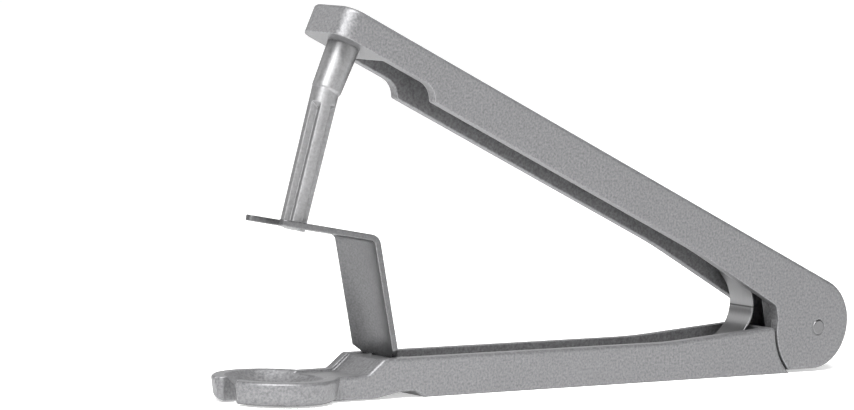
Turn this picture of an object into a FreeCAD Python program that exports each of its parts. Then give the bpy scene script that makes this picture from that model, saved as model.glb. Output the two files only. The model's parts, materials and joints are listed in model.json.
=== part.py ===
# Cherry pitter with lever: two cast channel levers on one hinge pin, pushed apart by a bent leaf spring.
# The upper lever carries a fluted plunger. The lower lever carries the fruit cup and a forked stripper.
# Everything is drawn about the hinge pin, with the nose and the cup towards -X, and then moved so that
# the origin is the middle of the footprint. The rest pose is the open one.
import FreeCAD, Part
import math
import os

os.makedirs("parts", exist_ok=True)
Vector = FreeCAD.Vector

# Driving dimensions in millimetres and degrees.
open_angle = 24.1
closing_angle = 14.9
lever_width = 15.0
wall = 2.2
web = 2.3
edge_round = 0.6

pin_height = 9.9
pin_radius = 1.7
pin_proud = 0.15
pin_dome = 0.3
press_clearance = 0.01
running_clearance = 0.05
side_clearance = 0.1
tongue_width = 5.4
tongue_clearance = 0.3

rail_height = 8.35
rail_floor = 2.0
rail_rise_angle = 3.9
rail_rise_reach = 43.0
rail_end_round = 1.2
hinge_gap = 0.42
bulkhead = 2.1
soft_bend = 120.0

cup_reach = 143.45
cup_radius = 13.15
cup_height = 4.9
cup_lift = 0.35
cup_taper = 0.7
cup_foot_round = 1.8
cup_rim_round = 0.6
cup_rim_width = 2.6
seat_radius = 14.0
pit_hole_radius = 5.5
front_slot = 4.8
slot_round = 1.2
ramp_length = 4.1
ramp_recess = 0.5
ramp_bend = 2.0
deck_ledge = 2.8
deck_bend = 1.5
deck_back = 3.3
deck_overlap = 0.01
recess_bend = 1.0
groove_rise = 1.05
groove_bend = 1.6
groove_tail = 2.5
groove_tail_bend = 2.0
groove_nose = 6.5
groove_nose_bend = 12.0
trough_corner_round = 2.0
trough_floor_round = 0.8

upper_top = 10.5
upper_edge = 1.5
nose_underside = 4.2
nose_block = 13.9
nose_ahead = 6.9
nose_plan_round = 4.0
nose_edge_round = 0.8
notch_gap = 3.7
notch_round = 4.3
notch_corner_round = 0.6
cheek_radius = 12.35
cheek_corner_reach = 13.9
cheek_corner_drop = 0.4
cheek_face_angle = 14.1
cheek_blend = 1.5
drum_radius = 9.85
drum_forward = 1.0
drum_flat_depth = 9.2
slot_opening_height = 4.5

rod_setback = 1.25
boss_root_radius = 3.4
boss_end_radius = 3.1
boss_length = 10.7
boss_end_cone = 1.0
spigot_radius = 2.5
spigot_length = 3.8
rod_top_radius = 2.85
rod_tip_radius = 2.7
rod_length = 28.3
rod_turn = 19.0
fin_half_width = 1.1
fin_round = 0.2
flute_start = 3.2
flute_rise = 4.0

strip_thickness = 1.2
stripper_width = 13.8
trough_radius = 13.5
post_setback = 24.95
post_lean = 13.5
foot_drop = 0.35
foot_taper = 1.9
foot_narrowing = 2.05
tang_width = 6.4
tang_clearance = 0.03
tang_root = 0.5
rivet_spread = 0.6
rivet_height = 0.4
landing_gap = 0.35
fork_gap = 9.2
fork_tip_round = 0.95
fork_throat_back = 2.2
fork_heel_round = 2.4

spring_width = 7.3
spring_thickness = 0.5
spring_bow_radius = 8.0
spring_bow_reach = 17.0
spring_leg_angle = 37.0
spring_foot_round = 4.0
spring_foot_length = 12.0
stud_radius = 1.2
stud_hole_radius = 1.35
stud_head_radius = 1.9
stud_head_height = 0.4
stud_from_end = 4.0
stud_gap = 0.02

# Sizes that follow from the driving ones.
closed_tilt = open_angle - closing_angle
half_width = lever_width / 2
inner_width = lever_width - 2 * wall
base = -pin_height
rail_top = base + rail_height
floor_top = base + rail_floor
ceiling = upper_top - web
tongue_radius = ceiling - tongue_clearance
rail_end_radius = cheek_radius + hinge_gap
cup_base = base + cup_lift
cup_rim = cup_base + cup_height
rod_reach = cup_reach - rod_setback
post_x = -cup_reach + post_setback
stripper_half = stripper_width / 2
groove_half = strip_thickness + rivet_spread

# Cutters pass this far beyond what they cut, a big one passes beyond everything, and
# points closer together than the last value count as one.
beyond = 1.0
big = 400.0
touch = 1e-3


def at(x, z, y=0.0):
    return Vector(x, y, z)


def polar(radius, degrees):
    angle = math.radians(degrees)
    return radius * math.cos(angle), radius * math.sin(angle)


def tilted(along, above, tilt):
    """Point this far along a lever and above its line through the pin, with the lever raised by tilt."""
    angle = math.radians(tilt)
    x = -along * math.cos(angle) + above * math.sin(angle)
    z = along * math.sin(angle) + above * math.cos(angle)
    return x, z


def crossing(start, start_angle, other, other_angle):
    """Where a line from start meets a line through other, both given by their angle in degrees."""
    ax, az = math.cos(math.radians(start_angle)), math.sin(math.radians(start_angle))
    bx, bz = math.cos(math.radians(other_angle)), math.sin(math.radians(other_angle))
    run = ((other[0] - start[0]) * bz - (other[1] - start[1]) * bx) / (ax * bz - az * bx)
    return start[0] + run * ax, start[1] + run * az


def corner_points(before, corner, after, radius):
    """Start, middle and end of the round that replaces a corner."""
    into = (corner - before).normalize()
    out = (after - corner).normalize()
    half_turn = into.getAngle(out) / 2
    reach = radius * math.tan(half_turn)
    start = corner - into * reach
    end = corner + out * reach
    inward = (out - into).normalize()
    centre = corner + inward * (radius / math.cos(half_turn))
    return start, centre - inward * radius, end


def outline(corners, closed=True):
    """Edges through corners given as (x, z, radius), each corner rounded by its radius."""
    points = [at(x, z) for x, z, radius in corners]
    count = len(points)
    pieces = []
    for i in range(count):
        radius = corners[i][2]
        inner = closed or 0 < i < count - 1
        if radius > 0 and inner:
            pieces.append(corner_points(points[i - 1], points[i], points[(i + 1) % count], radius))
        else:
            pieces.append((points[i], None, points[i]))
    edges = []
    for i in range(count):
        start, middle, end = pieces[i]
        if middle is not None:
            edges.append(Part.Arc(start, middle, end).toShape())
        last = i == count - 1
        following = pieces[(i + 1) % count][0]
        if not (last and not closed) and end.distanceToPoint(following) > touch:
            edges.append(Part.LineSegment(end, following).toShape())
    return Part.Wire(edges)


def prism(corners, width):
    """Solid with this side outline, centred on the middle plane."""
    face = Part.Face(outline(corners))
    face.translate(Vector(0, -width / 2, 0))
    return face.extrude(Vector(0, width, 0))


def block(x0, x1, y0, y1, z0, z1):
    return Part.makeBox(x1 - x0, y1 - y0, z1 - z0, Vector(x0, y0, z0))


def cross_rod(radius, width, x=0.0, z=0.0):
    """Round bar along Y, centred on the middle plane."""
    return Part.makeCylinder(radius, width, Vector(x, -width / 2, z), Vector(0, 1, 0))


def upright(radius, z0, z1, x=0.0, y=0.0):
    return Part.makeCylinder(radius, z1 - z0, Vector(x, y, z0), Vector(0, 0, 1))


def tilt_about_pin(shape, degrees):
    turned = shape.copy()
    turned.rotate(Vector(0, 0, 0), Vector(0, 1, 0), degrees)
    return turned


def rounded(shape, radius, wanted):
    """Round every edge that wanted(edge, box, middle) picks."""
    edges = [e for e in shape.Edges if wanted(e, e.BoundBox, e.CenterOfMass)]
    return shape.makeFillet(radius, edges)


def is_upright(box):
    return box.XLength < touch and box.YLength < touch


def runs_across(box):
    return box.XLength < touch and box.ZLength < touch


def plunger_axis_reach():
    """Distance along the upper lever at which the boss must stand for the rod to close upright."""
    tilt = math.radians(closed_tilt)
    joint = nose_underside - boss_length
    return (rod_reach + joint * math.sin(tilt)) / math.cos(tilt)


def arm_underside():
    return nose_underside - landing_gap - strip_thickness


def post_head_reach():
    """Where the post's front edges meet the fork's underside, along the closed upper lever."""
    foot = (post_x, rail_top - foot_drop)
    fork_point = tilted(0.0, arm_underside(), closed_tilt)
    head = crossing(foot, 90 + post_lean, fork_point, 180 - closed_tilt)
    tilt = math.radians(closed_tilt)
    return -head[0] * math.cos(tilt) + head[1] * math.sin(tilt)


boss_reach = plunger_axis_reach()
nose_reach = boss_reach + nose_ahead
notch_reach = post_head_reach() - notch_gap


def spring_path():
    """Corners of the spring's middle line, from its upper foot round the bow to its lower foot."""
    bisector = 180 - open_angle / 2
    half_turn = math.radians(90 - spring_leg_angle)
    bow_centre = spring_bow_reach + spring_bow_radius
    apex = polar(bow_centre - spring_bow_radius / math.cos(half_turn), bisector)
    half_sheet = spring_thickness / 2
    upper_seat = tilted(0.0, ceiling - half_sheet, open_angle)
    lower_seat = (0.0, floor_top + half_sheet)
    upper_bend = crossing(apex, bisector - spring_leg_angle, upper_seat, 180 - open_angle)
    lower_bend = crossing(apex, bisector + spring_leg_angle, lower_seat, 180)
    run_x, run_z = polar(spring_foot_length, 180 - open_angle)
    upper_end = (upper_bend[0] + run_x, upper_bend[1] + run_z)
    lower_end = (lower_bend[0] - spring_foot_length, lower_bend[1])
    return [
        (upper_end[0], upper_end[1], 0),
        (upper_bend[0], upper_bend[1], spring_foot_round),
        (apex[0], apex[1], spring_bow_radius),
        (lower_bend[0], lower_bend[1], spring_foot_round),
        (lower_end[0], lower_end[1], 0),
    ]


def spring_studs():
    """Distance of the upper stud along the upper lever, and the lower stud's place on the floor."""
    path = spring_path()
    angle = math.radians(open_angle)
    upper = -path[0][0] * math.cos(angle) + path[0][1] * math.sin(angle) - stud_from_end
    lower = path[-1][0] + stud_from_end
    return upper, lower


def riveted_stud(x, seat, down):
    """Cast stud that holds a spring foot against a flat, standing down or up from the seat."""
    sign = -1 if down else 1
    shank = spring_thickness + 2 * stud_gap
    stud = Part.makeCylinder(stud_radius, shank + stud_head_height, at(x, seat), at(0, sign))
    head = Part.makeCylinder(stud_head_radius, stud_head_height, at(x, seat + sign * shank), at(0, sign))
    return stud.fuse(head)


def upper_lever():
    """Inverted channel with a solid nose and a two-cheeked drum, drawn level and then raised."""
    step_lean = math.radians(90 - open_angle)
    step_drop = nose_underside - upper_edge
    notch_foot = notch_reach - step_drop / math.tan(step_lean)
    rise = math.tan(math.radians(rail_rise_angle))
    corner_height = -cheek_corner_drop
    bend_reach = cheek_corner_reach + (upper_edge - corner_height) / rise
    face_foot = polar(cheek_radius, 180 + cheek_face_angle)
    flat_normal = 270 + open_angle
    toe_angle = flat_normal - math.degrees(math.acos(drum_flat_depth / cheek_radius))
    toe = polar(cheek_radius, toe_angle)
    sweep = toe_angle - (180 + cheek_face_angle)
    arc_corner = polar(cheek_radius / math.cos(math.radians(sweep / 2)), 180 + cheek_face_angle + sweep / 2)
    heel = drum_radius - drum_forward
    nx, nz = polar(1.0, flat_normal)
    heel_corner = (drum_flat_depth - nx * heel) / nz
    side = [
        (-nose_reach, upper_top, 0),
        (heel, upper_top, drum_radius),
        (heel, heel_corner, drum_radius),
        (toe[0], toe[1], 0),
        (arc_corner[0], arc_corner[1], cheek_radius),
        (face_foot[0], face_foot[1], 0),
        (-cheek_corner_reach, corner_height, cheek_blend),
        (-bend_reach, upper_edge, soft_bend),
        (-notch_foot, upper_edge, notch_corner_round),
        (-notch_reach, nose_underside, notch_round),
        (-nose_reach, nose_underside, 0),
    ]
    body = prism(side, lever_width)
    plan = block(-nose_reach, big, -half_width, half_width, -big, big)
    plan = rounded(plan, nose_plan_round, lambda e, b, m: is_upright(b) and m.x < -nose_reach + touch)
    body = body.common(plan)

    def top_edge(edge, box, middle):
        return abs(box.ZMin - upper_top) < touch and not runs_across(box)

    body = rounded(body, nose_edge_round, top_edge)
    face_run = (face_foot[0] + cheek_corner_reach) / (corner_height - face_foot[1])
    cavity_back = -cheek_corner_reach - (ceiling - corner_height) * face_run
    cavity_foot = face_foot[0] + (ceiling + face_foot[1]) * face_run
    cavity = prism([
        (-(nose_reach - nose_block), ceiling, wall),
        (cavity_back, ceiling, 0),
        (cavity_foot, -ceiling, 0),
        (-(nose_reach - nose_block), -ceiling, 0),
    ], inner_width)
    body = body.cut(cavity)
    gap = tongue_width + 2 * side_clearance
    drum_slot = prism([
        (cavity_back - beyond, ceiling, 0),
        (0, ceiling, 0),
        (0, slot_opening_height, 0),
        (big, slot_opening_height, 0),
        (big, -2 * cheek_radius, 0),
        (cavity_back - beyond, -2 * cheek_radius, 0),
    ], gap)
    body = body.cut(drum_slot.fuse(cross_rod(ceiling, gap)))
    body = body.cut(cross_rod(pin_radius + press_clearance, lever_width))
    socket_top = nose_underside + spigot_length
    socket = upright(spigot_radius + press_clearance, nose_underside - beyond, socket_top, -boss_reach)
    body = body.cut(socket)
    body = body.fuse(riveted_stud(-spring_studs()[0], ceiling, True))
    return tilt_about_pin(body.removeSplitter(), open_angle)


def fluted_rod():
    """Tapered round rod hanging from the origin, with four square flutes that leave a cross of fins."""
    overlap = boss_end_cone
    taper = (rod_top_radius - rod_tip_radius) / rod_length
    rod = Part.makeCone(rod_top_radius + taper * overlap, rod_tip_radius, rod_length + overlap,
                        at(0, overlap), at(0, -1))
    reach = 2 * rod_top_radius
    end = -rod_length - beyond
    run = fin_half_width * math.sqrt(2)
    profile = [(run, end, 0), (reach, end, 0), (reach, flute_rise - flute_start, 0), (run, -flute_start, 0)]
    wedge = prism(profile, 2 * reach)
    wedge.rotate(Vector(0, 0, 0), Vector(0, 0, 1), 45)
    quadrant = block(fin_half_width, reach, fin_half_width, reach, end, reach)
    flute = wedge.common(quadrant)
    for quarter in range(4):
        turned = flute.copy()
        turned.rotate(Vector(0, 0, 0), Vector(0, 0, 1), 90 * quarter)
        rod = rod.cut(turned)
    outer = rod_tip_radius * 0.9
    rod = rounded(rod, fin_round, lambda e, b, m: b.ZLength > rod_length / 2 and math.hypot(m.x, m.y) > outer)
    rod.rotate(Vector(0, 0, 0), Vector(0, 0, 1), -rod_turn)
    return rod


def plunger():
    """Round tapered boss square to the lever, and a fluted rod that stands upright when closed."""
    joint = nose_underside - boss_length
    boss_side = [
        at(0, nose_underside + spigot_length),
        at(spigot_radius, nose_underside + spigot_length),
        at(spigot_radius, nose_underside),
        at(boss_root_radius, nose_underside),
        at(boss_end_radius, joint + boss_end_cone),
        at(boss_end_radius - boss_end_cone / 2, joint),
        at(0, joint),
    ]
    boss = Part.Face(Part.makePolygon(boss_side + boss_side[:1]))
    boss = boss.revolve(Vector(0, 0, 0), Vector(0, 0, 1), 360)
    rod = fluted_rod()
    rod.rotate(Vector(0, 0, 0), Vector(0, 1, 0), -closed_tilt)
    rod.translate(at(0, joint))
    whole = boss.fuse(rod).removeSplitter()
    whole.translate(at(-boss_reach, 0))
    return tilt_about_pin(whole, open_angle)


def lower_rail():
    """Side outline of the lower channel, from inside the cup to the hollow round the drum."""
    rise = math.tan(math.radians(rail_rise_angle))
    tang_x = post_x + (rail_top - foot_drop - cup_base) * math.tan(math.radians(post_lean)) + trough_depth()
    groove_z = cup_base + groove_rise
    front = -cup_reach + cup_radius / 2
    ledge = post_x - deck_ledge
    side = [
        (front, cup_base, 0),
        (tang_x - groove_half - groove_nose, cup_base, groove_nose_bend),
        (tang_x - groove_half, groove_z, groove_bend),
        (tang_x + groove_half, groove_z, groove_bend),
        (tang_x + groove_half + groove_tail, base, groove_tail_bend),
        (0, base, 0),
        (0, rail_top + rail_rise_reach * rise, 0),
        (-rail_rise_reach, rail_top, soft_bend),
        (ledge, rail_top, deck_bend),
        (ledge - ramp_length, cup_rim, ramp_bend),
        (front, cup_rim, 0),
    ]
    rail = prism(side, lever_width)
    rail = rail.cut(cross_rod(rail_end_radius, lever_width))
    return min(rail.Solids, key=lambda solid: solid.BoundBox.XMin)


def trough_depth():
    """How far the middle of the curved post lies behind its edges."""
    return trough_radius - math.sqrt(trough_radius ** 2 - stripper_half ** 2)


def post_place(shape):
    """Set a shape drawn upright about the post's foot into its leaning place."""
    placed = shape.copy()
    placed.rotate(Vector(0, 0, 0), Vector(0, 1, 0), -post_lean)
    placed.translate(at(post_x, rail_top - foot_drop))
    return placed


def tang_solid(extra):
    """Tongue of the stripper that passes through the floor of the lower lever."""
    depth = trough_depth()
    half = tang_width / 2 + extra
    down = -(rail_top - foot_drop - cup_base) / math.cos(math.radians(post_lean)) - beyond
    return post_place(block(depth - extra, depth + strip_thickness + extra, -half, half, down, beyond))


def slot_cutter():
    """Slot at the front of the cup, whose mouth is rounded outwards on both sides."""
    half = front_slot / 2
    low, high = base - beyond, cup_rim + beyond
    cutter = block(-cup_reach - 2 * cup_radius, -cup_reach, -half, half, low, high)
    centre_y = half + slot_round
    centre_x = -cup_reach - math.sqrt((cup_radius - cup_taper) ** 2 - centre_y ** 2) + slot_round
    for side in (-1, 1):
        outer, inner = sorted((0, side * centre_y))
        flare = block(centre_x - 2 * slot_round, centre_x, outer, inner, low, high)
        cutter = cutter.fuse(flare.cut(upright(slot_round, low, high, centre_x, side * centre_y)))
    return cutter


def lower_lever():
    """Channel with the fruit cup in front, the stripper's deck behind it and the hinge tongue at the back."""
    ledge = post_x - deck_ledge

    def end_edge(edge, box, middle):
        return runs_across(box) and middle.z > 0 and middle.x > -rail_end_radius

    def long_edge(edge, box, middle):
        return box.YLength < touch and (box.ZMax < floor_top or box.ZMin > cup_rim - touch)

    rail = rounded(rounded(lower_rail(), rail_end_round, end_edge), edge_round, long_edge)
    cup = Part.makeCone(cup_radius - cup_taper, cup_radius, cup_height, at(-cup_reach, cup_base), at(0, 1))
    cup = rounded(cup, cup_foot_round, lambda e, b, m: b.ZMax < cup_base + touch)
    cup = rounded(cup, cup_rim_round, lambda e, b, m: b.ZMin > cup_rim - touch)
    body = rail.fuse(cup).removeSplitter()
    inner_half = inner_width / 2
    recess = prism([
        (-cup_reach + cup_radius / 2, cup_rim - ramp_recess, 0),
        (ledge - ramp_length + ramp_recess, cup_rim - ramp_recess, ramp_bend),
        (ledge + ramp_recess, rail_top - foot_drop, recess_bend),
        (post_x - ramp_recess, rail_top - foot_drop, 0),
        (post_x - ramp_recess, pin_height, 0),
        (-cup_reach + cup_radius / 2, pin_height, 0),
    ], inner_width)
    body = body.cut(recess)
    inner_rim = cup_radius - cup_rim_width
    seat_centre = cup_rim + math.sqrt(seat_radius ** 2 - inner_rim ** 2)
    body = body.cut(Part.makeSphere(seat_radius, at(-cup_reach, seat_centre)))
    body = body.cut(upright(pit_hole_radius, base - beyond, cup_rim + beyond, -cup_reach))
    body = body.cut(slot_cutter())
    trough = block(post_x + deck_back, -(rail_end_radius + bulkhead), -inner_half, inner_half, floor_top, big)
    trough = rounded(trough, trough_corner_round, lambda e, b, m: is_upright(b))
    trough = rounded(trough, trough_floor_round, lambda e, b, m: b.ZMax < floor_top + touch)
    body = body.cut(trough)
    deck_end = post_x + deck_back + deck_overlap
    body = body.cut(block(post_x - ramp_recess, deck_end, -inner_half, inner_half, rail_top - foot_drop, big))
    tongue = cross_rod(tongue_radius, tongue_width)
    root = prism([
        (-rail_end_radius - bulkhead / 2, base, 0),
        (-rail_end_radius - bulkhead / 2, rail_top, 0),
        (0, rail_top, 0),
        (0, -tongue_radius, 0),
        (-tongue_radius, base, 0),
    ], tongue_width)
    body = body.fuse(tongue).fuse(root)
    body = body.cut(cross_rod(pin_radius + running_clearance, lever_width))
    body = body.cut(tang_solid(tang_clearance))
    body = body.fuse(riveted_stud(spring_studs()[1], floor_top, False))
    return body.removeSplitter()


def stripper_fork():
    """Curved post that leans over the fruit, with a flat forked arm and a riveted tang."""
    depth = trough_depth()
    centre = depth - trough_radius
    outer = trough_radius + strip_thickness
    outer_edge = centre + math.sqrt(outer ** 2 - stripper_half ** 2)
    low_front, low_back = Vector(0, -stripper_half, 0), Vector(outer_edge, -stripper_half, 0)
    high_front, high_back = Vector(0, stripper_half, 0), Vector(outer_edge, stripper_half, 0)
    inner_arc = Part.Arc(high_front, Vector(depth, 0, 0), low_front).toShape()
    outer_arc = Part.Arc(low_back, Vector(depth + strip_thickness, 0, 0), high_back).toShape()
    low_end = Part.makeLine(low_front, low_back)
    high_end = Part.makeLine(high_back, high_front)
    tall = cup_reach
    ahead = -cup_reach
    gutter = Part.Face(Part.Wire([inner_arc, low_end, outer_arc, high_end])).extrude(Vector(0, 0, tall))
    front_line = [Part.makeLine(high_back, Vector(ahead, stripper_half, 0))]
    front_line.append(Part.makeLine(Vector(ahead, stripper_half, 0), Vector(ahead, -stripper_half, 0)))
    front_line.append(Part.makeLine(Vector(ahead, -stripper_half, 0), low_back))
    reach_face = Part.Face(Part.Wire([outer_arc] + front_line))
    reach_solid = post_place(reach_face.extrude(Vector(0, 0, tall)))
    corner = block(-big, big, -big, big, -big, 0)
    for side in (-1, 1):
        knife = Part.makePolygon([
            Vector(-big, side * (stripper_half - foot_narrowing), 0),
            Vector(-big, side * stripper_half, foot_taper),
            Vector(-big, side * big, foot_taper),
            Vector(-big, side * big, 0),
            Vector(-big, side * (stripper_half - foot_narrowing), 0),
        ])
        gutter = gutter.cut(Part.Face(knife).extrude(Vector(2 * big, 0, 0)))
    gutter = post_place(gutter)
    gutter = gutter.cut(block(-big, big, -big, big, -big, rail_top - foot_drop))
    arm_top = nose_underside - landing_gap
    slab = block(-nose_reach, -boss_reach / 2, -stripper_half, stripper_half, arm_underside(), arm_top)
    slab = tilt_about_pin(slab, closed_tilt).common(reach_solid)
    above = tilt_about_pin(block(-big, big, -big, big, arm_top, big), closed_tilt)
    body = gutter.cut(above).fuse(slab).removeSplitter()
    throat = boss_reach - fork_throat_back
    fork = block(-2 * nose_reach, -throat, -fork_gap / 2, fork_gap / 2, 0, upper_top)
    fork = fork.fuse(upright(fork_gap / 2, 0, upper_top, -throat))
    body = body.cut(tilt_about_pin(fork, closed_tilt))
    tip_x = tilted(nose_reach, arm_top, closed_tilt)[0] + fork_tip_round

    def tip_corner(edge, box, middle):
        return box.XMax < tip_x and box.YLength < touch and box.ZLength > strip_thickness / 2

    body = rounded(body, fork_tip_round, tip_corner)
    heel_z = tilted(post_head_reach(), arm_underside(), closed_tilt)[1]
    level = [e for e in body.Edges if abs(e.CenterOfMass.z - heel_z) < strip_thickness / 2]
    inner_bend = [e for e in level if e.BoundBox.YLength > stripper_half]
    body = body.makeFillet(fork_heel_round - strip_thickness, inner_bend)
    crown = [e for e in body.Edges if e.BoundBox.YLength > stripper_half and e.CenterOfMass.z > heel_z]
    top_rear = max(crown, key=lambda e: e.CenterOfMass.x)
    body = body.makeFillet(fork_heel_round, [top_rear])
    groove_z = cup_base + groove_rise
    deck = rail_top - foot_drop
    tang = tang_solid(0.0).common(block(-big, big, -big, big, groove_z - rivet_height / 2, deck + tang_root))
    body = body.fuse(tang)
    foot = post_x + (deck - groove_z) * math.tan(math.radians(post_lean)) + depth
    half = tang_width / 2 + rivet_spread
    heel = foot + strip_thickness + rivet_spread
    rivet = block(foot - rivet_spread, heel, -half, half, groove_z - rivet_height, groove_z)
    return body.fuse(rivet).removeSplitter()


def leaf_spring():
    """Bent strip whose feet lie on the two levers and whose bow stands in front of the hinge."""
    path = outline(spring_path(), closed=False)
    start = path.Edges[0].valueAt(path.Edges[0].FirstParameter)
    along = path.Edges[0].tangentAt(path.Edges[0].FirstParameter)
    across = Vector(0, 1, 0)
    up = along.cross(across).normalize() * (spring_thickness / 2)
    side = across * (spring_width / 2)
    ring = [start + up + side, start + up - side, start - up - side, start - up + side]
    strip = path.makePipeShell([Part.makePolygon(ring + ring[:1])], True, False)
    upper, lower = spring_studs()
    upper_hole = tilt_about_pin(upright(stud_hole_radius, 0, upper_top, -upper), open_angle)
    lower_hole = upright(stud_hole_radius, base, 0, lower)
    return strip.cut(upper_hole).cut(lower_hole)


def hinge_pin():
    """Flush rivet pin with a shallow dome at each end."""
    length = lever_width + 2 * pin_proud
    pin = cross_rod(pin_radius, length)
    return rounded(pin, pin_dome, lambda e, b, m: b.YLength < touch)


def export_all(shapes):
    """Move every piece so that the whole stands on z = 0 with its footprint centred, and write it."""
    whole = Part.makeCompound(list(shapes.values())).optimalBoundingBox()
    shift = Vector(-(whole.XMin + whole.XMax) / 2, 0, -whole.ZMin)
    print("hinge pin at x %.4f z %.4f, size %.2f %.2f %.2f"
          % (shift.x, shift.z, whole.XLength, whole.YLength, whole.ZLength))
    for name, shape in shapes.items():
        placed = shape.copy()
        placed.translate(shift)
        placed.exportStep("parts/" + name + ".step")
        print(name, "solids", len(placed.Solids), "valid", placed.isValid(), "volume %.1f" % placed.Volume)


export_all({
    "upper_lever": upper_lever(),
    "plunger": plunger(),
    "lower_lever": lower_lever(),
    "stripper_fork": stripper_fork(),
    "leaf_spring": leaf_spring(),
    "hinge_pin": hinge_pin(),
})
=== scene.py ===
"""Finishes and studio for the hand-held cherry pitter.

The levers, the plunger and the stripper get a satin cast finish, the pin and the spring a steel one. The
tool stands on pale paper under soft lights.
"""

import json
import math

import bmesh
import bpy
from mathutils import Matrix, Vector


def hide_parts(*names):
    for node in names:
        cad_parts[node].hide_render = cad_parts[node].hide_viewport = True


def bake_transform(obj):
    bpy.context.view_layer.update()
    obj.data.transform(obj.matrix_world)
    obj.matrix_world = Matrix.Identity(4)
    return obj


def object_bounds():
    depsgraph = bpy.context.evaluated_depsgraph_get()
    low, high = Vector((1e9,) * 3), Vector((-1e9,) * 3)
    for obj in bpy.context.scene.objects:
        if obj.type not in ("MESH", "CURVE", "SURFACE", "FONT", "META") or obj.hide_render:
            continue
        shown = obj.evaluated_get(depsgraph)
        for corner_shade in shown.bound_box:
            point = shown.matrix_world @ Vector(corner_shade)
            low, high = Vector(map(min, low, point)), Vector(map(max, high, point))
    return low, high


bl_info = {
    "name": "Cherry Pitter Finishes",
    "version": (1, 0, 0),
    "blender": (4, 5, 0),
    "location": "View3D > Sidebar > Pitter",
    "description": "Finishes the packed cherry pitter and sets it in a pale studio",
    "category": "Object",
}

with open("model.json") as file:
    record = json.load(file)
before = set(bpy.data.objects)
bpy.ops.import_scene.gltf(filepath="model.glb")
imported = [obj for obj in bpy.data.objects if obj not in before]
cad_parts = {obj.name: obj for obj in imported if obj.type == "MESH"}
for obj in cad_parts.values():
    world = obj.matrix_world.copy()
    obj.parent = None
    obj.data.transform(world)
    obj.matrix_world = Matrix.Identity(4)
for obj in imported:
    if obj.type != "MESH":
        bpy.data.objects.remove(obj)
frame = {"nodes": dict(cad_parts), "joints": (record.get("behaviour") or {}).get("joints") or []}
cad_box = [list(corner_shade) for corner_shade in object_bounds()]
HINGE = Vector(frame["joints"][0]["pos_m"])

# Nearly all values of a noise lie between these two
NOISE_LOW = 0.3
NOISE_HIGH = 0.7

# How far the rounded normal turns from the face's own one, as a cosine, on a flat and on a sharp edge, where
# the colour is lightened partly as wear and partly as painted highlight
EDGE_FLAT = 0.99
EDGE_SHARP = 0.80

# Openness of a place in the open and deep in a corner, for the painted shade that darkens corners
CORNER_OPEN = 0.75
CORNER_DEEP = 0.2

# Rays that look for edges and corners
MASK_SAMPLES = 6

# Detail of the noise in every grain and hair line
FINE_DETAIL = 3.0
FINE_ROUGHNESS = 0.6

# Relief of the cast grain and of a hair line on steel, in metres
GRAIN_DEPTH = 0.00004
HAIR_DEPTH = 0.00001

# Brightness of a metal seen at a glancing angle
GLANCING_TINT = 0.6

# Steps in each bend of the spring, and the longest step elsewhere, in metres
BEND_STEPS = 24
LONGEST_STEP = 0.0012

# Two faces of the spring that meet at more than this angle keep a sharp edge
SHARP_ANGLE = math.radians(40)

# The photograph's width and the focal length fitted to it, both in its pixels
PHOTO_WIDTH = 854
PHOTO_FOCAL_LENGTH = 4200

# Width of the camera's sensor in millimetres, and how near and far it sees in metres
SENSOR_WIDTH = 36
NEAREST_SEEN = 0.05
FARTHEST_SEEN = 20

# Name, place, width and height of each softbox in metres, and the setting that holds its power
SOFTBOXES = (
    ("key_softbox", (-0.70, -0.34, 0.50), 0.26, 0.42, "key_power"),
    ("top_softbox", (-0.24, -0.36, 0.62), 0.50, 0.40, "top_power"),
    ("back_softbox", (-0.76, 1.27, 0.70), 0.70, 0.60, "back_power"),
)


class FinishSettings(bpy.types.PropertyGroup):
    """Colours and grain of the metals."""

    casting_tone: bpy.props.FloatVectorProperty(
        name="Casting", description="Mean colour of the two cast levers",
        subtype="COLOR", size=3, min=0, max=1, default=(0.155, 0.155, 0.159))
    plunger_tone: bpy.props.FloatVectorProperty(
        name="Plunger", description="Mean colour of the boss and the fluted rod",
        subtype="COLOR", size=3, min=0, max=1, default=(0.235, 0.235, 0.238))
    # The strip's tone is darker than the levers', partly its own colour and partly painted shade on the
    # stripper's post
    strip_tone: bpy.props.FloatVectorProperty(
        name="Strip", description="Mean colour of the stripper fork",
        subtype="COLOR", size=3, min=0, max=1, default=(0.12, 0.12, 0.123))
    spring_tone: bpy.props.FloatVectorProperty(
        name="Spring", description="Mean colour of the leaf spring",
        subtype="COLOR", size=3, min=0, max=1, default=(0.23, 0.23, 0.233))
    pin_tone: bpy.props.FloatVectorProperty(
        name="Pin", description="Mean colour of the hinge pin",
        subtype="COLOR", size=3, min=0, max=1, default=(0.18, 0.18, 0.183))
    edge_round: bpy.props.FloatProperty(
        name="Edge rounding", description="Radius that the shader rounds each cast edge to",
        subtype="DISTANCE", unit="LENGTH", default=0.00045, min=0.0)
    grain_size: bpy.props.FloatProperty(
        name="Grain", description="Size of one grain of the cast surface",
        subtype="DISTANCE", unit="LENGTH", default=0.0005, min=0.00005)


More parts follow.
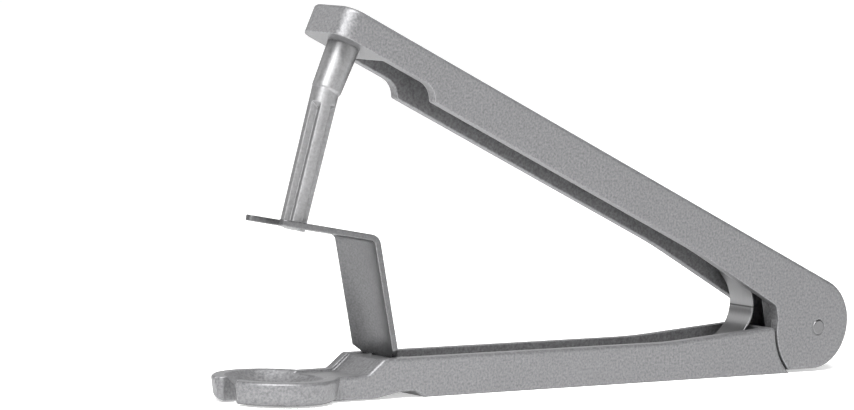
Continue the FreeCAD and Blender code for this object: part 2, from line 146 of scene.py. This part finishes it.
class SpringSettings(bpy.types.PropertyGroup):
    """Sizes of the bent leaf spring, about the hinge pin and in the open pose."""

    opening: bpy.props.FloatProperty(
        name="Opening", description="Angle between the two levers when open",
        subtype="ANGLE", default=math.radians(24.1))
    width: bpy.props.FloatProperty(
        name="Width", description="Width of the spring strip",
        unit="LENGTH", default=0.0073)
    thickness: bpy.props.FloatProperty(
        name="Thickness", description="Thickness of the spring strip",
        unit="LENGTH", default=0.0005)
    ceiling: bpy.props.FloatProperty(
        name="Upper seat", description="Height of the upper lever's web above the pin",
        unit="LENGTH", default=0.0082)
    floor: bpy.props.FloatProperty(
        name="Lower seat", description="Depth of the lower lever's floor under the pin",
        unit="LENGTH", default=0.0079)
    bow_reach: bpy.props.FloatProperty(
        name="Bow reach", description="Distance from the pin to the crown of the bow",
        unit="LENGTH", default=0.017)
    bow_radius: bpy.props.FloatProperty(
        name="Bow radius", description="Radius of the bow",
        unit="LENGTH", default=0.008)
    leg_angle: bpy.props.FloatProperty(
        name="Leg angle", description="Angle of each leg to the line that halves the opening",
        subtype="ANGLE", default=math.radians(37))
    foot_radius: bpy.props.FloatProperty(
        name="Foot radius", description="Radius of the bend above each foot",
        unit="LENGTH", default=0.004)
    foot_length: bpy.props.FloatProperty(
        name="Foot length", description="Length of each foot that lies on its lever",
        unit="LENGTH", default=0.012)
    # Height above the pin of the fine dark line across the spring
    dark_line_height: bpy.props.FloatProperty(
        name="Crease", description="Height of the fine crease above the pin",
        unit="LENGTH", default=0.0049)


class StudioSettings(bpy.types.PropertyGroup):
    """Camera and lights."""

    camera_place: bpy.props.FloatVectorProperty(
        name="Camera", description="Place of the camera", subtype="TRANSLATION", unit="LENGTH", size=3,
        default=(-0.5697, -0.6826, 0.1083))
    camera_turn: bpy.props.FloatProperty(
        name="Camera azimuth", description="How far the camera stands round towards the cup",
        subtype="ANGLE", default=math.radians(38.206))
    camera_lift: bpy.props.FloatProperty(
        name="Camera elevation", description="How steeply the camera looks down",
        subtype="ANGLE", default=math.radians(4.557))
    camera_roll: bpy.props.FloatProperty(
        name="Camera roll", description="Roll of the camera about its line of sight",
        subtype="ANGLE", default=math.radians(1.848))
    lens_share: bpy.props.FloatProperty(
        name="Lens", description="Focal length as a multiple of the picture's width",
        default=PHOTO_FOCAL_LENGTH / PHOTO_WIDTH)
    key_power: bpy.props.FloatProperty(
        name="Key", description="Power of the tall softbox beside the cup", subtype="POWER", default=5.0)
    top_power: bpy.props.FloatProperty(
        name="Top", description="Power of the overhead softbox", subtype="POWER", default=12.0)
    back_power: bpy.props.FloatProperty(
        name="Back", description="Power of the softbox far behind the tool", subtype="POWER", default=2.6)
    paper_glow: bpy.props.FloatProperty(
        name="Paper glow", description="Brightness that the pale paper adds of its own", default=0.5)
    world_light: bpy.props.FloatProperty(
        name="Room", description="Brightness of the room round the set", default=0.24)


class Shading:
    """Short calls that add and join shader nodes in one material."""

    def __init__(self, name):
        self.material = bpy.data.materials.new(name)
        self.material.use_nodes = True
        self.tree = self.material.node_tree
        self.tree.nodes.clear()
        self.output = self.add("ShaderNodeOutputMaterial")

    def add(self, kind, **values):
        node = self.tree.nodes.new(kind)
        for key, value in values.items():
            setattr(node, key, value)
        return node

    def join(self, start, end):
        self.tree.links.new(start, end)

    def place(self):
        return self.add("ShaderNodeTexCoord").outputs["Object"]

    def noise(self, place, size, detail=2.0, roughness=0.5):
        node = self.add("ShaderNodeTexNoise")
        node.inputs["Scale"].default_value = 1.0 / size
        node.inputs["Detail"].default_value = detail
        node.inputs["Roughness"].default_value = roughness
        self.join(place, node.inputs["Vector"])
        return node.outputs["Fac"]

    def spread(self, value, low, high, to_low, to_high):
        node = self.add("ShaderNodeMapRange")
        for name, number in (("From Min", low), ("From Max", high), ("To Min", to_low), ("To Max", to_high)):
            node.inputs[name].default_value = number
        self.join(value, node.inputs["Value"])
        return node.outputs["Result"]

    def vary(self, noise, low, high):
        """A noise stretched so that it runs from low to high."""
        return self.spread(noise, NOISE_LOW, NOISE_HIGH, low, high)

    def shift(self, mask, outside, inside):
        """One value where the mask is 0 and another where it is 1."""
        return self.spread(mask, 0.0, 1.0, outside, inside)

    def combine(self, operation, first, second=0.0):
        node = self.add("ShaderNodeMath", operation=operation)
        for socket, value in zip(node.inputs, (first, second)):
            if isinstance(value, float):
                socket.default_value = value
            else:
                self.join(value, socket)
        return node.outputs["Value"]

    def product(self, result, *others):
        for other in others:
            result = self.combine("MULTIPLY", result, other)
        return result

    def tint(self, tone, share):
        """The tone made lighter or darker by a share that changes over the surface."""
        node = self.add("ShaderNodeVectorMath", operation="SCALE")
        node.inputs[0].default_value = tone
        self.join(share, node.inputs["Scale"])
        return node.outputs["Vector"]

    def edge_mask(self, radius):
        """1 on a sharp edge and 0 on a flat, and the normal rounded over that radius."""
        bevel = self.add("ShaderNodeBevel", samples=MASK_SAMPLES)
        bevel.inputs["Radius"].default_value = radius
        surface = self.add("ShaderNodeNewGeometry")
        match = self.add("ShaderNodeVectorMath", operation="DOT_PRODUCT")
        self.join(bevel.outputs["Normal"], match.inputs[0])
        self.join(surface.outputs["Normal"], match.inputs[1])
        return self.spread(match.outputs["Value"], EDGE_FLAT, EDGE_SHARP, 0.0, 1.0), bevel.outputs["Normal"]

    def corner_shade_mask(self, reach):
        """1 deep in a corner and 0 in the open, which marks where painted shade darkens the colour."""
        shade = self.add("ShaderNodeAmbientOcclusion", samples=MASK_SAMPLES)
        shade.inputs["Distance"].default_value = reach
        return self.spread(shade.outputs["AO"], CORNER_OPEN, CORNER_DEEP, 0.0, 1.0)

    def relief(self, height, depth, strength, normal):
        node = self.add("ShaderNodeBump")
        node.inputs["Distance"].default_value = depth
        node.inputs["Strength"].default_value = strength
        self.join(height, node.inputs["Height"])
        self.join(normal, node.inputs["Normal"])
        return node.outputs["Normal"]

    def metal(self, colour, roughness, normal, metallic=1.0):
        shader = self.add("ShaderNodeBsdfPrincipled")
        shader.inputs["Metallic"].default_value = metallic
        shader.inputs["Specular Tint"].default_value = (GLANCING_TINT, GLANCING_TINT, GLANCING_TINT, 1)
        self.join(colour, shader.inputs["Base Color"])
        self.join(roughness, shader.inputs["Roughness"])
        self.join(normal, shader.inputs["Normal"])
        self.join(shader.outputs["BSDF"], self.output.inputs["Surface"])
        return self.material


def cast_finish(name, tone, grain, rounding, roughness=0.42, sparkle=0.32, metallic=0.5, depth=GRAIN_DEPTH):
    """Satin cast metal: fine sparkling grain, faint cloudy tone, edges lightened partly as wear and partly as
    painted highlight, and painted shade darkening the corners.
    """
    cloud_size = 0.012
    cloud_change = 0.015
    corner_reach = 0.004
    # Painted shade: deep in a corner the colour is this share of its tone
    corner_shade_share = 0.94
    # Edges lightened to this share of the tone, partly as wear and partly as painted highlight
    wear_and_highlight_share = 1.6
    worn_polish = 0.10
    smoother = 0.05
    rougher = 0.07
    relief_strength = 0.6
    nodes = Shading(name)
    where = nodes.place()
    fine = nodes.noise(where, grain, FINE_DETAIL, FINE_ROUGHNESS)
    cloud = nodes.noise(where, cloud_size)
    wear_and_highlight, normal = nodes.edge_mask(rounding)
    corner_shade = nodes.corner_shade_mask(corner_reach)
    share = nodes.product(
        nodes.vary(fine, 1.0 - sparkle, 1.0 + sparkle),
        nodes.vary(cloud, 1.0 - cloud_change, 1.0 + cloud_change),
        nodes.shift(wear_and_highlight, 1.0, wear_and_highlight_share),
        nodes.shift(corner_shade, 1.0, corner_shade_share))
    rough = nodes.vary(fine, roughness - smoother, roughness + rougher)
    rough = nodes.combine("SUBTRACT", rough, nodes.shift(wear_and_highlight, 0.0, worn_polish))
    bumps = nodes.relief(fine, depth, relief_strength, normal)
    return nodes.metal(nodes.tint(tone, share), rough, bumps, metallic)


def drawn_finish(name, tone, stretch, rounding, roughness):
    """Drawn steel: hair-fine lines along the bar, soft blotches and edges lightened partly as wear and partly
    as painted highlight.
    """
    line_size = 0.0005
    line_change = 0.07
    blotch_size = 0.006
    blotch_change = 0.05
    # Edges lightened to this share of the tone, partly as wear and partly as painted highlight
    wear_and_highlight_share = 1.35
    smoother = 0.04
    rougher = 0.06
    relief_strength = 0.35
    nodes = Shading(name)
    stretched = nodes.add("ShaderNodeMapping")
    stretched.inputs["Scale"].default_value = stretch
    nodes.join(nodes.place(), stretched.inputs["Vector"])
    lines = nodes.noise(stretched.outputs["Vector"], line_size, FINE_DETAIL, FINE_ROUGHNESS)
    blotch = nodes.noise(nodes.place(), blotch_size)
    wear_and_highlight, normal = nodes.edge_mask(rounding)
    share = nodes.product(
        nodes.vary(lines, 1.0 - line_change, 1.0 + line_change),
        nodes.vary(blotch, 1.0 - blotch_change, 1.0 + blotch_change),
        nodes.shift(wear_and_highlight, 1.0, wear_and_highlight_share))
    rough = nodes.vary(lines, roughness - smoother, roughness + rougher)
    bumps = nodes.relief(lines, HAIR_DEPTH, relief_strength, normal)
    return nodes.metal(nodes.tint(tone, share), rough, bumps)


def spring_finish(name, tone, rounding):
    """Spring steel: lines along the strip, edges lightened partly as wear and partly as painted highlight,
    and one fine dark line across it.
    """
    line_size = 0.0006
    line_change = 0.05
    line_stretch = 0.08
    # Edges lightened to this share of the tone, partly as wear and partly as painted highlight
    wear_and_highlight_share = 1.3
    # The fine dark line across the strip is this share of its tone
    dark_line_share = 0.35
    dark_line_core = 0.0001
    dark_line_rim = 0.00024
    smoothest = 0.30
    roughest = 0.40
    relief_strength = 0.3
    nodes = Shading(name)
    along = nodes.add("ShaderNodeAttribute", attribute_name="along").outputs["Fac"]
    across = nodes.add("ShaderNodeAttribute", attribute_name="across").outputs["Fac"]
    grid = nodes.add("ShaderNodeCombineXYZ")
    nodes.join(nodes.combine("MULTIPLY", along, line_stretch), grid.inputs["X"])
    nodes.join(across, grid.inputs["Y"])
    lines = nodes.noise(grid.outputs["Vector"], line_size, FINE_DETAIL, FINE_ROUGHNESS)
    dark_line = nodes.spread(nodes.combine("ABSOLUTE", along), dark_line_core, dark_line_rim, 1.0, 0.0)
    wear_and_highlight, normal = nodes.edge_mask(rounding)
    share = nodes.product(
        nodes.vary(lines, 1.0 - line_change, 1.0 + line_change),
        nodes.shift(wear_and_highlight, 1.0, wear_and_highlight_share),
        nodes.shift(dark_line, 1.0, dark_line_share))
    rough = nodes.vary(lines, smoothest, roughest)
    bumps = nodes.relief(lines, HAIR_DEPTH, relief_strength, normal)
    return nodes.metal(nodes.tint(tone, share), rough, bumps)


def paper_finish(name, glow):
    """Pale paper with a faint fibre, which also shines a little of its own."""
    fibre_size = 0.004
    fibre_dark = 0.84
    fibre_light = 0.87
    nodes = Shading(name)
    shine = nodes.add("ShaderNodeEmission")
    shine.inputs["Color"].default_value = (1, 1, 1, 1)
    shine.inputs["Strength"].default_value = glow
    paper = nodes.add("ShaderNodeBsdfDiffuse")
    fibre = nodes.noise(nodes.place(), fibre_size, FINE_DETAIL)
    share = nodes.vary(fibre, fibre_dark, fibre_light)
    nodes.join(nodes.tint((1.0, 1.0, 1.0), share), paper.inputs["Color"])
    both = nodes.add("ShaderNodeAddShader")
    nodes.join(shine.outputs["Emission"], both.inputs[0])
    nodes.join(paper.outputs["BSDF"], both.inputs[1])
    nodes.join(both.outputs["Shader"], nodes.output.inputs["Surface"])
    return nodes.material


def paint_node(node, material):
    """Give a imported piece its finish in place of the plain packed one."""
    piece = frame["nodes"][node]
    piece.data.materials.clear()
    piece.data.materials.append(material)


def lever_way(tilt):
    """Direction from the pin towards the cup along a lever raised by tilt."""
    return Vector((-math.cos(tilt), 0, math.sin(tilt)))


def along_lever(distance, height, tilt):
    """Point in the mirror plane, this far along a lever raised by tilt and above its line through the pin."""
    upward = Vector((math.sin(tilt), 0, math.cos(tilt)))
    return HINGE + lever_way(tilt) * distance + upward * height


def meeting(start, way, other, other_way):
    """Where two lines in the mirror plane cross."""
    gap = other - start
    run = (gap.x * other_way.z - gap.z * other_way.x) / (way.x * other_way.z - way.z * other_way.x)
    return start + way * run


def rounded_line(corners, radii):
    """Points along a line whose inner corners are rounded."""
    points = [corners[0]]
    for before, corner_shade, after, radius in zip(corners, corners[1:], corners[2:], radii):
        into = (corner_shade - before).normalized()
        out = (after - corner_shade).normalized()
        half = into.angle(out) / 2
        centre = corner_shade + (out - into).normalized() * radius / math.cos(half)
        start = corner_shade - into * radius * math.tan(half) - centre
        axis = start.cross(into).normalized()
        for i in range(BEND_STEPS + 1):
            points.append(centre + Matrix.Rotation(2 * half * i / BEND_STEPS, 3, axis) @ start)
    points.append(corners[-1])
    return points


def divided(points):
    """The same line with no piece longer than the longest step."""
    fine = [points[0]]
    for start, end in zip(points, points[1:]):
        count = max(1, math.ceil((end - start).length / LONGEST_STEP))
        fine.extend(start.lerp(end, i / count) for i in range(1, count + 1))
    return fine


def spring_line(spring):
    """Middle line of the spring from its upper foot to its lower one, and the corners above the two feet."""
    half_sheet = spring.thickness / 2
    halving = spring.opening / 2
    raised = lever_way(spring.opening)
    flat = lever_way(0)
    half_turn = math.pi / 2 - spring.leg_angle
    apex_reach = spring.bow_reach + spring.bow_radius - spring.bow_radius / math.cos(half_turn)
    apex = along_lever(apex_reach, 0, halving)
    upper_seat = along_lever(0, spring.ceiling - half_sheet, spring.opening)
    lower_seat = along_lever(0, half_sheet - spring.floor, 0)
    upper_bend = meeting(apex, lever_way(halving + spring.leg_angle), upper_seat, raised)
    lower_bend = meeting(apex, lever_way(halving - spring.leg_angle), lower_seat, flat)
    corners = [
        upper_bend + raised * spring.foot_length,
        upper_bend,
        apex,
        lower_bend,
        lower_bend + flat * spring.foot_length,
    ]
    radii = [spring.foot_radius, spring.bow_radius, spring.foot_radius]
    return divided(rounded_line(corners, radii)), upper_bend, lower_bend


def strip_mesh(name, line, width, thickness, dark_line):
    """Strip along a line, whose points know how far along from the fine dark line and how far across they
    lie.
    """
    build = bmesh.new()
    along = build.verts.layers.float.new("along")
    across = build.verts.layers.float.new("across")
    lengths = [0.0]
    for start, end in zip(line, line[1:]):
        lengths.append(lengths[-1] + (end - start).length)
    rows = []
    for i, point in enumerate(line):
        way = (line[min(i + 1, len(line) - 1)] - line[max(i - 1, 0)]).normalized()
        outward = way.cross(Vector((0, 1, 0))) * thickness / 2
        row = []
        for side, layer in ((-1, -1), (1, -1), (1, 1), (-1, 1)):
            y = side * width / 2
            vertex = build.verts.new(point + outward * layer + Vector((0, y, 0)))
            vertex[along] = lengths[i] - lengths[dark_line]
            vertex[across] = y
            row.append(vertex)
        rows.append(row)
    for row, following in zip(rows, rows[1:]):
        for k in range(4):
            build.faces.new((row[k], row[(k + 1) % 4], following[(k + 1) % 4], following[k]))
    build.faces.new(rows[0])
    build.faces.new(reversed(rows[-1]))
    bmesh.ops.recalc_face_normals(build, faces=build.faces)
    for face in build.faces:
        face.smooth = True
    for edge in build.edges:
        if len(edge.link_faces) == 2 and edge.calc_face_angle() > SHARP_ANGLE:
            edge.smooth = False
    mesh = bpy.data.meshes.new(name)
    build.to_mesh(mesh)
    build.free()
    return mesh


class PITTER_OT_levers(bpy.types.Operator):
    """Finish the two cast levers"""

    bl_idname = "pitter.levers"
    bl_label = "Levers"

    def execute(self, context):
        finish = context.scene.pitter_finish
        cast = cast_finish("cast_lever", finish.casting_tone, finish.grain_size, finish.edge_round)
        for node in ("lower_lever", "upper_lever"):
            paint_node(node, cast)
        return {"FINISHED"}


class PITTER_OT_plunger(bpy.types.Operator):
    """Finish the boss and the fluted rod"""

    bl_idname = "pitter.plunger"
    bl_label = "Plunger"

    def execute(self, context):
        finish = context.scene.pitter_finish
        edge_share = 0.6
        depth_share = 0.3
        smooth = cast_finish(
            "plunger_metal", finish.plunger_tone, finish.grain_size, finish.edge_round * edge_share,
            roughness=0.44, sparkle=0.14, metallic=0.85, depth=GRAIN_DEPTH * depth_share)
        paint_node("plunger", smooth)
        return {"FINISHED"}


class PITTER_OT_stripper(bpy.types.Operator):
    """Finish the forked stripper"""

    bl_idname = "pitter.stripper"
    bl_label = "Stripper fork"

    def execute(self, context):
        finish = context.scene.pitter_finish
        finer = 0.8
        strip = cast_finish(
            "strip_metal", finish.strip_tone, finish.grain_size * finer, finish.edge_round * finer,
            roughness=0.36, sparkle=0.24, metallic=0.8)
        paint_node("stripper_fork", strip)
        return {"FINISHED"}


class PITTER_OT_pin(bpy.types.Operator):
    """Finish the hinge pin"""

    bl_idname = "pitter.pin"
    bl_label = "Hinge pin"

    def execute(self, context):
        finish = context.scene.pitter_finish
        edge_share = 0.4
        steel = drawn_finish(
            "pin_steel", finish.pin_tone, stretch=(1.0, 0.2, 1.0), rounding=finish.edge_round * edge_share,
            roughness=0.32)
        paint_node("hinge_pin", steel)
        return {"FINISHED"}


class PITTER_OT_spring(bpy.types.Operator):
    """Build the leaf spring as a strip bent in the open pose"""

    bl_idname = "pitter.spring"
    bl_label = "Leaf spring"

    def execute(self, context):
        spring = context.scene.pitter_spring
        finish = context.scene.pitter_finish
        line, upper_bend, lower_bend = spring_line(spring)
        # The strip's point nearest the height of the fine dark line
        dark_line_level = HINGE.z + spring.dark_line_height
        dark_line = min(range(len(line)), key=lambda i: abs(line[i].z - dark_line_level))
        edge_round = spring.thickness * 0.4
        mesh = strip_mesh("leaf_spring_strip", line, spring.width, spring.thickness, dark_line)
        mesh.materials.append(spring_finish("spring_steel", finish.spring_tone, edge_round))
        strip = bpy.data.objects.new("leaf_spring_strip", mesh)
        context.scene.collection.objects.link(strip)
        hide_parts("leaf_spring")
        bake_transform(strip)
        return {"FINISHED"}


class PITTER_OT_stage(bpy.types.Operator):
    """Set up the pale sweep, the soft lights and the camera"""

    bl_idname = "pitter.stage"
    bl_label = "Studio"

    def execute(self, context):
        studio = context.scene.pitter_studio
        self.sweep(context, studio)
        self.softboxes(context, studio)
        self.room(context, studio)
        self.camera(context, studio)
        return {"FINISHED"}

    def sweep(self, context, studio):
        """Floor that curves up behind the tool, turned to face the camera."""
        floor_before = 2.0
        floor_behind = 1.4
        half_width = 2.5
        bend_radius = 0.6
        bend_steps = 16
        wall_top = 2.2
        sweep_turn = math.radians(38)
        profile = [(-floor_before, 0.0), (floor_behind, 0.0)]
        for i in range(1, bend_steps + 1):
            turn = math.pi / 2 * i / bend_steps
            away = floor_behind + bend_radius * math.sin(turn)
            profile.append((away, bend_radius - bend_radius * math.cos(turn)))
        profile.append((floor_behind + bend_radius, wall_top))
        mesh = bpy.data.meshes.new("pale_sweep")
        build = bmesh.new()
        rows = [[build.verts.new((x, y, z)) for x in (-half_width, half_width)] for y, z in profile]
        for near, far in zip(rows, rows[1:]):
            face = build.faces.new((near[0], near[1], far[1], far[0]))
            face.smooth = True
        build.to_mesh(mesh)
        build.free()
        mesh.transform(Matrix.Rotation(-sweep_turn, 4, "Z"))
        mesh.materials.append(paper_finish("pale_paper", studio.paper_glow))
        floor = bpy.data.objects.new("pale_sweep", mesh)
        context.scene.collection.objects.link(floor)

    def softboxes(self, context, studio):
        """Rectangular lights that look at the middle of the tool."""
        low, high = (Vector(corner_shade) for corner_shade in cad_box)
        middle = (low + high) / 2
        for name, place, width, height, power in SOFTBOXES:
            lamp = bpy.data.lights.new(name, "AREA")
            lamp.shape = "RECTANGLE"
            lamp.size = width
            lamp.size_y = height
            lamp.energy = getattr(studio, power)
            box = bpy.data.objects.new(name, lamp)
            box.location = place
            box.rotation_euler = (middle - Vector(place)).to_track_quat("-Z", "Y").to_euler()
            context.scene.collection.objects.link(box)

    def room(self, context, studio):
        """Even white light from all round."""
        world = bpy.data.worlds.new("studio_room")
        world.use_nodes = True
        background = world.node_tree.nodes["Background"]
        background.inputs["Color"].default_value = (1, 1, 1, 1)
        background.inputs["Strength"].default_value = studio.world_light
        context.scene.world = world
        context.scene.view_settings.view_transform = "Standard"

    def camera(self, context, studio):
        """Camera at the photograph's angle, with its slight roll."""
        turn, lift, roll = studio.camera_turn, studio.camera_lift, studio.camera_roll
        back = Vector((-math.sin(turn) * math.cos(lift), -math.cos(turn) * math.cos(lift), math.sin(lift)))
        level = Vector((math.cos(turn), -math.sin(turn), 0))
        upright = back.cross(level)
        right = level * math.cos(roll) + upright * math.sin(roll)
        above = upright * math.cos(roll) - level * math.sin(roll)
        facing = Matrix((right, above, back)).transposed()
        lens = bpy.data.cameras.new("studio_camera")
        lens.sensor_width = SENSOR_WIDTH
        lens.lens = SENSOR_WIDTH * studio.lens_share
        lens.clip_start = NEAREST_SEEN
        lens.clip_end = FARTHEST_SEEN
        eye = bpy.data.objects.new("studio_camera", lens)
        eye.matrix_world = Matrix.LocRotScale(studio.camera_place, facing, None)
        context.scene.collection.objects.link(eye)
        context.scene.camera = eye


OPERATORS = (
    PITTER_OT_levers,
    PITTER_OT_plunger,
    PITTER_OT_stripper,
    PITTER_OT_pin,
    PITTER_OT_spring,
    PITTER_OT_stage,
)


class PITTER_PT_panel(bpy.types.Panel):
    """Lists the pitter's steps"""

    bl_idname = "PITTER_PT_panel"
    bl_label = "Cherry pitter"
    bl_space_type = "VIEW_3D"
    bl_region_type = "UI"
    bl_category = "Pitter"

    def draw(self, context):
        for operator in OPERATORS:
            self.layout.operator(operator.bl_idname)
        for name, kind in GROUPS.items():
            box = self.layout.box()
            for value in kind.__annotations__:
                box.prop(getattr(context.scene, name), value)


GROUPS = {"pitter_finish": FinishSettings, "pitter_spring": SpringSettings, "pitter_studio": StudioSettings}


def register():
    for group in GROUPS.values():
        bpy.utils.register_class(group)
    for operator in OPERATORS:
        bpy.utils.register_class(operator)
    bpy.utils.register_class(PITTER_PT_panel)
    for name, group in GROUPS.items():
        setattr(bpy.types.Scene, name, bpy.props.PointerProperty(type=group))


def unregister():
    for name in GROUPS:
        delattr(bpy.types.Scene, name)
    bpy.utils.unregister_class(PITTER_PT_panel)
    for operator in reversed(OPERATORS):
        bpy.utils.unregister_class(operator)
    for group in reversed(GROUPS.values()):
        bpy.utils.unregister_class(group)


def main():
    register()
    for step in ("levers", "plunger", "stripper", "pin", "spring", "stage"):
        getattr(bpy.ops.pitter, step)()


if __name__ == "__main__":
    main()
